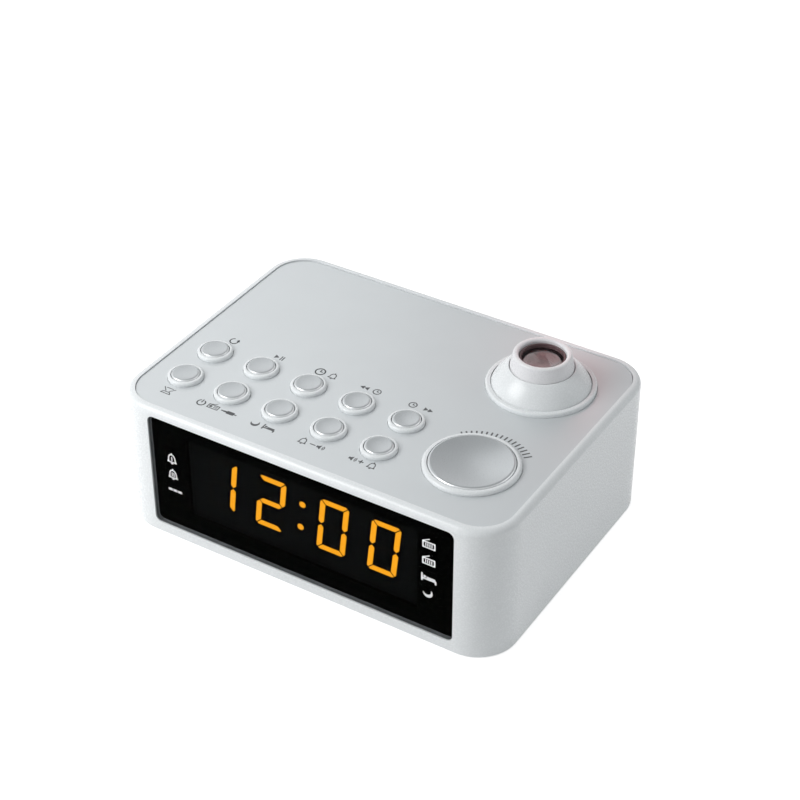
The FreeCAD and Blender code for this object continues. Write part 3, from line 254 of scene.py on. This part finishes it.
# Pale ink with a faint white emission: painted light on the marks behind the window.
mats["pale_ink"] = surface("ink_pale_painted_glow", (0.88, 0.89, 0.90), 0.5, vary=0.05, grain=2600.0, bump=0.02,
                           Emission_Strength=0.55)
mats["lit"] = glow("segment_amber", (1.0, 0.41, 0.009), 2.9, (0.3, 0.12, 0.01))
mats["led"] = glow("led_red", (1.0, 0.03, 0.02), 6.0, (0.4, 0.02, 0.02))
mats["window"] = clear("smoked_acrylic", (0.34, 0.345, 0.35), 1.03, 0.015, 0.015)
mats["lens"] = clear("lens_acrylic", (0.95, 0.93, 0.94), 1.49, 0.01, 0.01)
mats["lcd"] = clear("lcd_cell", (0.30, 0.32, 0.34), 1.5, 0.05, 0.03)

# The finish of each node
DRESS = {"cabinet": "white", "top_panel": "silver", "bottom_cover": "white", "battery_door": "white",
         "rubber_feet": "rubber", "case_screws": "steel", "board_screws": "steel",
         "display_window": "window", "display_mask": "mask",
         "led_display": "block", "segments_lit": "lit", "segments_dark": "unlit",
         "display_board": "board", "key_board": "board", "main_board": "board", "tact_switches": "black",
         "tuner_shield": "tin", "main_chip": "chip", "capacitors": "sleeve", "dc_jack": "black",
         "aux_jack": "black", "aerial_gland": "rubber", "speaker_frame": "basket", "speaker_cone": "cone",
         "speaker_magnet": "ferrite", "backup_cells": "cell", "cell_contacts": "spring",
         "projector_ring": "white", "swivel_retainer": "black", "swivel_cradle": "black",
         "projector_head": "white", "focus_barrel": "barrel", "lens_cell": "plum",
         "projection_lens": "lens", "condenser_lens": "lens", "lcd_slide": "lcd", "led_holder": "black",
         "projector_led": "led", "snooze_key": "snooze", "snooze_plunger": "black"}
for row in "ab":
    for number in range(1, 6):
        DRESS["key_%s%d" % (row, number)] = "key"
        DRESS["plunger_%s%d" % (row, number)] = "black"
for node, mat_name in DRESS.items():
    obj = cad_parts[node]
    obj = bpy.data.objects[obj] if isinstance(obj, str) else obj
    obj.data.materials.clear()
    obj.data.materials.append(mats[mat_name])


# Printed symbols: flat strokes and filled outlines, drawn in millimetres on a plane
def stroke(mesh, points, width, closed=False):
    pts = [Vector(p) for p in points]
    if closed:
        pts.append(pts[0])
    half = width / 2
    for a, b in zip(pts, pts[1:]):
        along = (b - a).normalized()
        side = Vector((-along.y, along.x)) * half
        tip = along * half * 0.6
        corners = [a - tip + side, a - tip - side, b + tip - side, b + tip + side]
        mesh.faces.new([mesh.verts.new((c.x, c.y, 0)) for c in corners])


def fill(mesh, points):
    mesh.faces.new([mesh.verts.new((x, y, 0)) for x, y in points])


def arc(cx, cy, radius, start, end, steps=24):
    span = end - start
    return [(cx + radius * math.cos(math.radians(start + span * i / steps)),
             cy + radius * math.sin(math.radians(start + span * i / steps))) for i in range(steps + 1)]


def bell(mesh, cx, cy, s):
    half = [(-1.0, -0.75), (-0.78, -0.45), (-0.72, 0.35), (-0.45, 0.85)]
    body = half + [(0, 1.0)] + [(-x, y) for x, y in reversed(half)]
    stroke(mesh, [(cx + x * s, cy + y * s) for x, y in body], 0.24 * s, closed=True)
    fill(mesh, arc(cx, cy - 0.95 * s, 0.3 * s, 180, 360, 10))
    stroke(mesh, [(cx, cy + 1.0 * s), (cx, cy + 1.3 * s)], 0.25 * s)


def moon(mesh, cx, cy, s):
    # A crescent: a circle less a smaller one whose centre lies up and to the left.
    apart, bite, lean = 0.5, 0.86, 112
    outer_half = math.degrees(math.acos((1 - bite ** 2 + apart ** 2) / (2 * apart)))
    inner_half = math.degrees(math.acos((apart ** 2 + bite ** 2 - 1) / (2 * apart * bite)))
    bx = cx + apart * s * math.cos(math.radians(lean))
    by = cy + apart * s * math.sin(math.radians(lean))
    outer = arc(cx, cy, s, lean + outer_half, lean + 360 - outer_half, 30)
    inner = arc(bx, by, bite * s, lean + 180 + inner_half, lean + 180 - inner_half, 24)
    fill(mesh, outer + inner[1:-1])


def bed(mesh, cx, cy, s):
    head, foot, rail, low = cx - 1.5 * s, cx + 1.5 * s, cy - 0.25 * s, cy - 0.8 * s
    stroke(mesh, [(head, cy + 0.9 * s), (head, low)], 0.34 * s)
    stroke(mesh, [(head, rail), (foot, rail), (foot, low)], 0.34 * s)
    fill(mesh, arc(cx - 0.9 * s, cy + 0.28 * s, 0.3 * s, 0, 345, 12))
    stroke(mesh, [(cx - 0.35 * s, cy + 0.15 * s), (cx + 1.3 * s, cy + 0.15 * s)], 0.42 * s)


def clock(mesh, cx, cy, s):
    stroke(mesh, arc(cx, cy, s, 0, 345, 20), 0.26 * s, closed=True)
    stroke(mesh, [(cx, cy + 0.6 * s), (cx, cy), (cx + 0.45 * s, cy)], 0.24 * s)


def power(mesh, cx, cy, s):
    stroke(mesh, arc(cx, cy, s, 120, 420, 20), 0.3 * s)
    stroke(mesh, [(cx, cy + 1.15 * s), (cx, cy + 0.15 * s)], 0.3 * s)


def radio(mesh, cx, cy, s):
    frame_pts = [(-1.5, -0.7), (1.5, -0.7), (1.5, 0.7), (-1.5, 0.7)]
    stroke(mesh, [(cx + x * s, cy + y * s) for x, y in frame_pts], 0.26 * s, closed=True)
    fill(mesh, arc(cx - 0.75 * s, cy, 0.42 * s, 0, 345, 14))
    stroke(mesh, [(cx + 0.15 * s, cy + 0.25 * s), (cx + 1.1 * s, cy + 0.25 * s)], 0.2 * s)
    stroke(mesh, [(cx + 0.15 * s, cy - 0.2 * s), (cx + 1.1 * s, cy - 0.2 * s)], 0.2 * s)
    stroke(mesh, [(cx - 1.3 * s, cy + 0.7 * s), (cx + 0.5 * s, cy + 1.35 * s)], 0.2 * s)


def triangle(mesh, cx, cy, s, way):
    # way is 1 for a triangle that points right and -1 for left.
    blunt = cx - way * 0.6 * s
    fill(mesh, [(blunt, cy + 0.8 * s), (blunt, cy - 0.8 * s), (cx + way * 0.8 * s, cy)][::way])


def speaker(mesh, cx, cy, s):
    fill(mesh, [(cx - 0.9 * s, cy - 0.35 * s), (cx - 0.4 * s, cy - 0.35 * s), (cx + 0.2 * s, cy - 0.85 * s),
                (cx + 0.2 * s, cy + 0.85 * s), (cx - 0.4 * s, cy + 0.35 * s), (cx - 0.9 * s, cy + 0.35 * s)])
    stroke(mesh, arc(cx + 0.2 * s, cy, 0.6 * s, -45, 45, 8), 0.18 * s)
    stroke(mesh, arc(cx + 0.2 * s, cy, 1.0 * s, -45, 45, 8), 0.18 * s)


def ink(name, draw, at, x_axis, y_axis, mat, slot, thick=0.02):
    # A printed mark on the case, drawn on the plane of the two axes and raised from it by thick.
    mesh = bmesh.new()
    draw(mesh)
    made = bmesh.ops.extrude_face_region(mesh, geom=list(mesh.faces))
    moved = [item for item in made["geom"] if isinstance(item, bmesh.types.BMVert)]
    bmesh.ops.translate(mesh, verts=moved, vec=(0, 0, thick))
    bmesh.ops.recalc_face_normals(mesh, faces=list(mesh.faces))
    normal = Vector(x_axis).cross(Vector(y_axis))
    turn = Matrix((Vector(x_axis), Vector(y_axis), normal)).transposed().to_4x4()
    place = Matrix.Scale(MM, 4) @ Matrix.Translation(Vector(at)) @ turn
    bmesh.ops.transform(mesh, matrix=place, verts=mesh.verts)
    data = bpy.data.meshes.new(name)
    mesh.to_mesh(data)
    mesh.free()
    data.materials.append(mat)
    obj = bpy.data.objects.new(name, data)
    bpy.context.scene.collection.objects.link(obj)
    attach(obj, CASE)
    return obj


# Marks on the top panel
PANEL_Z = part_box("top_panel")[1][2] / MM
TOP = dict(x_axis=(1, 0, 0), y_axis=(0, 1, 0), mat=mats["ink"], slot="inner_black")


def on_panel(name, key, dx, dy, draw):
    low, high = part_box(key)
    x = (low[0] + high[0]) / 2 / MM + dx
    y = (low[1] + high[1]) / 2 / MM + dy
    return ink(name, draw, (x, y, PANEL_Z), **TOP)


def draw_rotate(m):
    stroke(m, arc(0, 0, 1.6, 110, 400, 24), 0.42)
    fill(m, [(0.6, 0.4), (2.2, 0.4), (1.4, 1.7)])


def draw_play(m):
    triangle(m, -1.0, 0, 1.35, 1)
    stroke(m, [(0.9, 1.1), (0.9, -1.1)], 0.45)
    stroke(m, [(1.8, 1.1), (1.8, -1.1)], 0.45)


def draw_clocks(m):
    clock(m, -1.7, 0, 1.85)
    bell(m, 3.8, -0.1, 1.5)


def draw_rewind(m):
    triangle(m, -1.9, 0, 1.3, -1)
    triangle(m, -0.1, 0, 1.3, -1)
    clock(m, 4.2, 0, 1.45)


def draw_forward(m):
    clock(m, -5.2, 0, 1.45)
    triangle(m, 0.2, 0, 1.3, 1)
    triangle(m, 2.0, 0, 1.3, 1)


def draw_beam(m):
    stroke(m, [(-2.0, -1.5), (2.0, -1.5), (1.3, -0.5), (-1.3, -0.5)], 0.36, closed=True)
    stroke(m, [(-0.7, 0), (-2.4, 1.9)], 0.36)
    stroke(m, [(0.7, 0), (2.4, 1.9)], 0.36)
    stroke(m, [(-1.4, 1.8), (1.4, 1.8)], 0.36)


def draw_power(m):
    # On and off, the radio, and the plug of an audio lead.
    power(m, 0, 0, 1.55)
    radio(m, 5.3, 0, 1.45)
    stroke(m, [(8.9, 0), (9.7, 0)], 0.55)
    stroke(m, [(10.1, 0), (11.3, 0)], 0.8)
    stroke(m, [(11.7, 0), (13.7, 0)], 1.7)
    stroke(m, [(14.1, 0), (15.2, 0)], 0.5)


def draw_night(m):
    moon(m, 0, 0, 1.7)
    bed(m, 5.9, -0.1, 1.55)


def draw_alarm_down(m):
    bell(m, 0, 0, 1.5)
    stroke(m, [(3.0, 0), (5.0, 0)], 0.45)
    speaker(m, 7.0, 0, 1.45)


def draw_alarm_up(m):
    speaker(m, 0, 0, 1.45)
    stroke(m, [(2.7, 0), (4.5, 0)], 0.45)
    stroke(m, [(3.6, 0.9), (3.6, -0.9)], 0.45)
    bell(m, 8.0, 0, 1.5)


def draw_dimmer(m):
    # A scale of ticks that grow along the arc round the back of the snooze key.
    count = 17
    start = 131
    sweep = 86
    inner = 18.6
    shortest = 0.7
    growth = 1.9
    for index in range(count):
        share = index / (count - 1)
        angle = math.radians(start - sweep * share)
        outer = inner + shortest + growth * share
        stroke(m, [(inner * math.cos(angle), inner * math.sin(angle)),
                   (outer * math.cos(angle), outer * math.sin(angle))], 0.6)


# Each mark with its key and how far it lies from the middle of that key, in millimetres
PANEL_MARKS = (("mark_rotate", "key_a1", 1.55, 9.8, draw_rotate),
               ("mark_play", "key_a2", 1.25, 9.7, draw_play),
               ("mark_clocks", "key_a3", 0.15, 10.1, draw_clocks),
               ("mark_rewind", "key_a4", -2.15, 10.2, draw_rewind),
               ("mark_forward", "key_a5", 1.65, 10.2, draw_forward),
               ("mark_beam", "key_b1", -0.25, -10.6, draw_beam),
               ("mark_power", "key_b2", -6.45, -9.9, draw_power),
               ("mark_night", "key_b3", -3.65, -10.0, draw_night),
               ("mark_alarm_down", "key_b4", -4.25, -9.8, draw_alarm_down),
               ("mark_alarm_up", "key_b5", -5.05, -9.3, draw_alarm_up),
               ("mark_dimmer", "snooze_key", 0, 0, draw_dimmer))
for name, key, dx, dy, draw in PANEL_MARKS:
    on_panel(name, key, dx, dy, draw)


# Print on the back of the window: a black border and pale marks in front of it, the marks lit by a painted
# glow
WINDOW_LOW, WINDOW_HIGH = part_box("display_window")
WINDOW_BACK = WINDOW_HIGH[1] / MM
PRINT_INSET = 0.1
PRINT_R = 2.3
PRINT_BEHIND = 0.045
PRINT_T = 0.015
FIELD_HALF_W = 48.2
FIELD_LOW_Z = 12
FIELD_HIGH_Z = 46.5
FIELD_R = 1.0
MARK_BEHIND = 0.012
MARK_T = 0.05
FACE_AXES = dict(x_axis=(1, 0, 0), y_axis=(0, 0, 1))


def rounded(x0, x1, z0, z1, radius, steps=8):
    points = []
    for cx, cz, start in ((x1 - radius, z1 - radius, 0), (x0 + radius, z1 - radius, 90),
                          (x0 + radius, z0 + radius, 180), (x1 - radius, z0 + radius, 270)):
        points += arc(cx, cz, radius, start, start + 90, steps)
    return points


def draw_border(m):
    # The black print on the back of the window, round the clear field in front of the digits.
    edge = rounded(WINDOW_LOW[0] / MM + PRINT_INSET, WINDOW_HIGH[0] / MM - PRINT_INSET,
                   WINDOW_LOW[2] / MM + PRINT_INSET, WINDOW_HIGH[2] / MM - PRINT_INSET, PRINT_R)
    field = rounded(-FIELD_HALF_W, FIELD_HALF_W, FIELD_LOW_Z, FIELD_HIGH_Z, FIELD_R)
    outer = [m.verts.new((x, z, 0)) for x, z in edge]
    inner = [m.verts.new((x, z, 0)) for x, z in field]
    for index in range(len(outer)):
        following = (index + 1) % len(outer)
        m.faces.new((outer[index], outer[following], inner[following], inner[index]))


ink("window_print", draw_border, (0, WINDOW_BACK + PRINT_BEHIND, 0), mat=mats["mask"], slot="mask_black",
    thick=PRINT_T, **FACE_AXES)


def on_window(name, x, z, draw):
    return ink(name, draw, (x, WINDOW_BACK + MARK_BEHIND, z), mat=mats["pale_ink"], slot="barrel_white",
               thick=MARK_T, **FACE_AXES)


def draw_band(m):
    # A radio: its case, four bars of its dial and its aerial.
    stroke(m, [(-2.3, -1.1), (2.3, -1.1), (2.3, 1.3), (-2.3, 1.3)], 0.55, closed=True)
    for x in (-1.2, -0.4, 0.4, 1.2):
        stroke(m, [(x, -0.5), (x, 0.7)], 0.4)
    stroke(m, [(-2.2, 1.5), (0.2, 2.8)], 0.4)


def draw_bell_one(m):
    bell(m, 0, 0, 1.9)
    stroke(m, [(0.0, 0.75), (0.0, -0.75)], 0.42)


def draw_bell_two(m):
    bell(m, 0, 0, 1.9)
    stroke(m, [(-0.42, 0.75), (-0.42, -0.75)], 0.38)
    stroke(m, [(0.42, 0.75), (0.42, -0.75)], 0.38)


def draw_nap(m):
    for x in (-2.6, -0.5, 1.6):
        stroke(m, [(x, 0), (x + 1.1, 0)], 1.0)


def draw_bed(m):
    bed(m, 0, 0, 1.8)


def draw_moon(m):
    moon(m, 0, 0, 1.9)


# Each mark with its place across and up the window
WINDOW_MARKS = (("mark_bell_1", -55.2, 35.1, draw_bell_one), ("mark_bell_2", -55.2, 28.0, draw_bell_two),
                ("mark_band_1", 52.6, 42.0, draw_band), ("mark_band_2", 52.6, 34.8, draw_band),
                ("mark_bed", 52.7, 27.4, draw_bed), ("mark_moon", 52.4, 20.9, draw_moon),
                ("mark_nap", -54.8, 20.8, draw_nap))
for name, x, z, draw in WINDOW_MARKS:
    on_window(name, x, z, draw)


# Studio: a pale floor, a bright world behind it and soft lamps, in metres
FLOOR_HALF = 6.0
FLOOR_Z = -0.00005
FLOOR_DARK = (0.80, 0.80, 0.80)
FLOOR_LIGHT = (0.83, 0.83, 0.83)
FLOOR_GLOW = 0.70
HORIZON_Z = 0.1
OVERHEAD_Z = 0.9
OVERHEAD = (0.3, 0.3, 0.3)
BACKGROUND = (1.0, 1.0, 1.0)
HEART = (0, 0, 0.03)


def seen(nodes, links):
    # 1 for rays that look at the background, straight or through gloss and glass, and 0 for the rest.
    path = nodes.new("ShaderNodeLightPath")
    value = path.outputs["Is Camera Ray"]
    for name in ("Is Glossy Ray", "Is Transmission Ray"):
        most = nodes.new("ShaderNodeMath")
        most.operation = "MAXIMUM"
        links.new(value, most.inputs[0])
        links.new(path.outputs[name], most.inputs[1])
        value = most.outputs[0]
    return value


def build_floor():
    data = bpy.data.meshes.new("floor")
    mesh = bmesh.new()
    bmesh.ops.create_grid(mesh, x_segments=8, y_segments=8, size=FLOOR_HALF)
    mesh.to_mesh(data)
    mesh.free()
    floor = bpy.data.objects.new("floor", data)
    floor.location.z = FLOOR_Z
    bpy.context.scene.collection.objects.link(floor)
    mat = bpy.data.materials.new("floor_white")
    mat.use_nodes = True
    nodes = mat.node_tree.nodes
    links = mat.node_tree.links
    nodes.clear()
    out = nodes.new("ShaderNodeOutputMaterial")
    add = nodes.new("ShaderNodeAddShader")
    diffuse = nodes.new("ShaderNodeBsdfDiffuse")
    emit = nodes.new("ShaderNodeEmission")
    scale = nodes.new("ShaderNodeMath")
    scale.operation = "MULTIPLY"
    scale.inputs[1].default_value = FLOOR_GLOW
    links.new(seen(nodes, links), scale.inputs[0])
    links.new(scale.outputs[0], emit.inputs["Strength"])
    tex = nodes.new("ShaderNodeTexNoise")
    tex.inputs["Scale"].default_value = 6.0
    ramp = nodes.new("ShaderNodeValToRGB")
    ramp.color_ramp.elements[0].color = (*FLOOR_DARK, 1)
    ramp.color_ramp.elements[1].color = (*FLOOR_LIGHT, 1)
    links.new(tex.outputs["Fac"], ramp.inputs["Fac"])
    links.new(ramp.outputs["Color"], diffuse.inputs["Color"])
    links.new(diffuse.outputs[0], add.inputs[0])
    links.new(emit.outputs[0], add.inputs[1])
    # Seen from below the floor is clear, so that the underside shows.
    under = nodes.new("ShaderNodeMixShader")
    links.new(nodes.new("ShaderNodeNewGeometry").outputs["Backfacing"], under.inputs[0])
    links.new(add.outputs[0], under.inputs[1])
    links.new(nodes.new("ShaderNodeBsdfTransparent").outputs[0], under.inputs[2])
    links.new(under.outputs[0], out.inputs["Surface"])
    data.materials.append(mat)


def build_world(ambient):
    # White behind the object. Gloss sees it white at the horizon and greyer overhead, like a dim ceiling.
    world = bpy.data.worlds.new("studio")
    world.use_nodes = True
    bpy.context.scene.world = world
    nodes = world.node_tree.nodes
    links = world.node_tree.links
    nodes.clear()
    out = nodes.new("ShaderNodeOutputWorld")
    shader = nodes.new("ShaderNodeBackground")
    split = nodes.new("ShaderNodeSeparateXYZ")
    links.new(nodes.new("ShaderNodeTexCoord").outputs["Generated"], split.inputs[0])
    height = nodes.new("ShaderNodeValToRGB")
    height.color_ramp.elements[0].position = HORIZON_Z
    height.color_ramp.elements[1].position = OVERHEAD_Z
    height.color_ramp.elements[0].color = (*BACKGROUND, 1)
    height.color_ramp.elements[1].color = (*OVERHEAD, 1)
    links.new(split.outputs["Z"], height.inputs["Fac"])
    path = nodes.new("ShaderNodeLightPath")
    color = mix_color(nodes, links, path.outputs["Is Glossy Ray"], ambient, height.outputs["Color"])
    color = mix_color(nodes, links, path.outputs["Is Transmission Ray"], color, BACKGROUND)
    color = mix_color(nodes, links, path.outputs["Is Camera Ray"], color, BACKGROUND)
    links.new(color, shader.inputs["Color"])
    links.new(shader.outputs[0], out.inputs["Surface"])


def area(name, at, target, side, energy, color=(1, 1, 1)):
    # A square lamp that looks at target. Its side is in metres and its energy in watts.
    data = bpy.data.lights.new(name, "AREA")
    data.shape = "RECTANGLE"
    data.size = side
    data.size_y = side
    data.energy = energy
    data.color = color
    lamp = bpy.data.objects.new(name, data)
    lamp.location = at
    aim = Vector(target) - Vector(at)
    lamp.rotation_euler = aim.to_track_quat("-Z", "Y").to_euler()
    bpy.context.scene.collection.objects.link(lamp)
    return lamp


build_floor()
build_world((0.315, 0.325, 0.33))
area("key_lamp", (-0.37, -0.40, 0.48), (-0.02, -0.02, 0.03), 0.4, 3.3)
area("back_lamp", (-0.40, 0.35, 0.45), HEART, 0.4, 0.45)
area("beam_glow", (0.042, 0.062, 0.084), (0.046, 0.036, 0.062), 0.03, 0.0014, (1.0, 0.12, 0.14))
area("side_lamp", (0.60, 0.40, 0.35), HEART, 0.5, 0.7, (0.97, 0.99, 1.0))

bpy.context.scene.view_settings.view_transform = "Standard"
